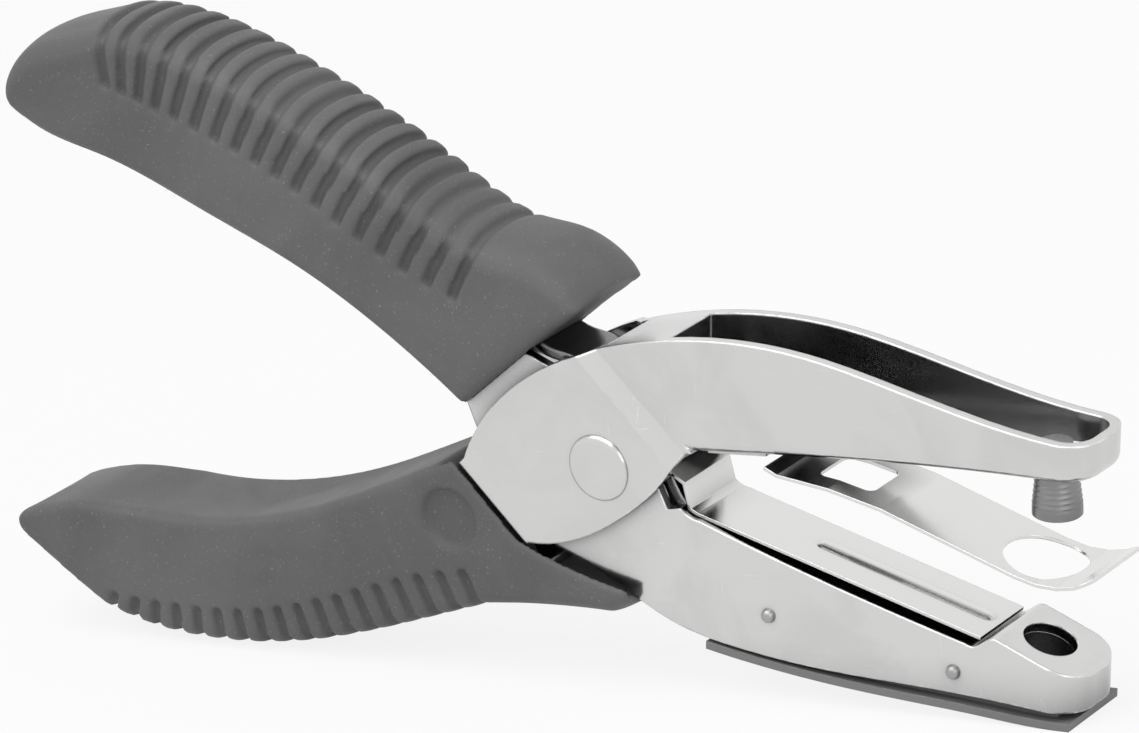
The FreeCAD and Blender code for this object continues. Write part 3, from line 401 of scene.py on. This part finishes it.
def moulded(label, name, body, side, drop, reach, marks_at=()):
    """Grip with its corners run together and its ribbed side crowned.

    side is +1 for ribs on top and -1 for ribs below; drop is how far the crown
    falls away at the flanks, and reach how deep under the ribs it is felt.
    marks_at holds round recesses in the near flank: x, z, radius and depth.
    """
    mesh = bmesh.new()
    mesh.from_mesh(node[label].data)
    bmesh.ops.remove_doubles(mesh, verts=mesh.verts, dist=2e-6)
    rough_cast = bpy.data.meshes.new(name + "_cast")
    mesh.to_mesh(rough_cast)
    mesh.free()
    cast = bpy.data.objects.new(name, rough_cast)
    bpy.context.scene.collection.objects.link(cast)
    for kind, traits in (("REMESH", {"mode": "VOXEL", "voxel_size": 0.00042}),
                         ("SMOOTH", {"factor": 0.5, "iterations": 5})):
        step = cast.modifiers.new(kind.lower(), kind)
        for key, value in traits.items():
            setattr(step, key, value)
    ready = bpy.context.evaluated_depsgraph_get()
    data = bpy.data.meshes.new_from_object(cast.evaluated_get(ready))
    cast.modifiers.clear()
    cast.data = data
    low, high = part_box(label)
    half = high[1]
    crest = {}
    for v in data.vertices:
        slot = round(v.co.x * 400)
        crest[slot] = max(crest.get(slot, -9.0), v.co.z * side)
    slots = sorted(crest)
    even = {}
    for slot in slots:
        near = [crest[k] for k in range(slot - 2, slot + 3) if k in crest]
        even[slot] = sum(near) / len(near)
    mesh = bmesh.new()
    mesh.from_mesh(data)
    for v in mesh.verts:
        depth = even[round(v.co.x * 400)] - v.co.z * side
        felt = max(0.0, 1 - depth / reach)
        felt = felt * felt * (3 - 2 * felt)
        v.co.z -= side * drop * felt * (abs(v.co.y) / half) ** 2.4
        for x, z, r, sink in marks_at:
            far = math.hypot(v.co.x - x, v.co.z - z)
            if v.co.y < 0.0009 - half and far < r:
                v.co.y += sink * min(1.0, (r - far) / 0.0004)
    for face in mesh.faces:
        face.smooth = True
    mesh.to_mesh(data)
    mesh.free()
    data.name = name
    data.materials.clear()
    data.materials.append(vinyl)
    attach(cast, body)
    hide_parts(label)
    print("grip triangles", name, 2 * len(data.polygons))
    return cast


upper = moulded("upper_grip", "upper_moulding", "inner", 1, 0.0022, 0.011)
lower = moulded("lower_grip", "lower_moulding", "outer", -1, 0.0012, 0.009,
                marks_at=[(-0.01028, 0.02198, 0.00435, 0.0005)])

# --------------------------------------------------------------------- studio
# Pale sweep under and behind the punch, one large soft lamp over it and a
# weaker one at its nose; the camera sees the sweep as white.
bench = bmesh.new()
bmesh.ops.create_grid(bench, x_segments=1, y_segments=1, size=3.0)
sheet = bpy.data.meshes.new("sweep")
bench.to_mesh(sheet)
bench.free()
floor = bpy.data.objects.new("sweep", sheet)
bpy.context.scene.collection.objects.link(floor)
paper = bpy.data.materials.new("sweep paper")
paper.use_nodes = True
tree = paper.node_tree
matt = tree.nodes["Principled BSDF"]
matt.inputs["Roughness"].default_value = 0.9
matt.inputs["Specular IOR Level"].default_value = 0.1
weave = add(tree, "ShaderNodeTexNoise", {"Scale": 900.0, "Detail": 3.0})
tone = add(tree, "ShaderNodeMix", {0: weave.outputs["Fac"], 6: (0.88, 0.88, 0.88, 1),
           7: (0.92, 0.92, 0.92, 1)}, data_type="RGBA")
tree.links.new(tone.outputs[2], matt.inputs["Base Color"])
glow = add(tree, "ShaderNodeEmission", {"Color": (1, 1, 1, 1), "Strength": 1.0})
ray = add(tree, "ShaderNodeLightPath")
seen = math_node(tree, "MAXIMUM", ray.outputs["Is Camera Ray"],
                 math_node(tree, "MAXIMUM", ray.outputs["Is Glossy Ray"],
                           ray.outputs["Is Transmission Ray"]))
blend = add(tree, "ShaderNodeMixShader", {0: math_node(tree, "MULTIPLY", seen, 0.86),
            1: matt.outputs[0], 2: glow.outputs[0]})
tree.links.new(blend.outputs[0], tree.nodes["Material Output"].inputs["Surface"])
sheet.materials.append(paper)

world = bpy.data.worlds.new("studio")
world.use_nodes = True
tree = world.node_tree
air = tree.nodes["Background"]
ray = add(tree, "ShaderNodeLightPath")
seen = math_node(tree, "MAXIMUM", ray.outputs["Is Camera Ray"],
                 math_node(tree, "MAXIMUM", ray.outputs["Is Glossy Ray"],
                           ray.outputs["Is Transmission Ray"]))
level = add(tree, "ShaderNodeMapRange", {"Value": seen, "To Min": 0.45, "To Max": 1.0})
air.inputs["Color"].default_value = (1, 1, 1, 1)
tree.links.new(level.outputs["Result"], air.inputs["Strength"])
bpy.context.scene.world = world

pivot = Vector((0.014566, 0, 0.030661))
for label, spot, aim, width, power in (
        ("over lamp", (-0.12, -0.35, 0.85), (0, 0, 0.04), 1.0, 5.6),
        ("nose lamp", (0.75, -0.35, 0.35), (0.02, 0, 0.03), 0.5, 1.1)):
    lamp = bpy.data.lights.new(label, "AREA")
    lamp.shape, lamp.size, lamp.energy = "SQUARE", width, power
    stand = bpy.data.objects.new(label.replace(" ", "_"), lamp)
    spot = Vector(spot)
    stand.location = spot
    stand.rotation_euler = (Vector(aim) - spot).to_track_quat("-Z", "Y").to_euler()
    bpy.context.scene.collection.objects.link(stand)

swing, dip, nose = math.radians(33.79), math.radians(24.27), math.radians(9.8423)
lean = Matrix.Rotation(nose, 3, "Y")
ahead = lean @ Vector((-math.sin(swing) * math.cos(dip), math.cos(swing) * math.cos(dip),
                       -math.sin(dip)))
right = lean @ Vector((math.cos(swing), math.sin(swing), 0))
up = right.cross(ahead)
aim = pivot + lean @ Vector((0, -0.00775, 0))
lens = bpy.data.cameras.new("camera")
lens.lens, lens.sensor_width = 198.5, 36.0
lens.shift_x, lens.shift_y = -0.0256, 0.0890
lens.clip_start = 0.01
camera = bpy.data.objects.new("camera", lens)
camera.matrix_world = Matrix.Translation(aim - ahead * 0.8) @ Matrix(
    (right, up, -ahead)).transposed().to_4x4()
bpy.context.scene.collection.objects.link(camera)
bpy.context.scene.camera = camera
bpy.context.scene.view_settings.view_transform = "Standard"
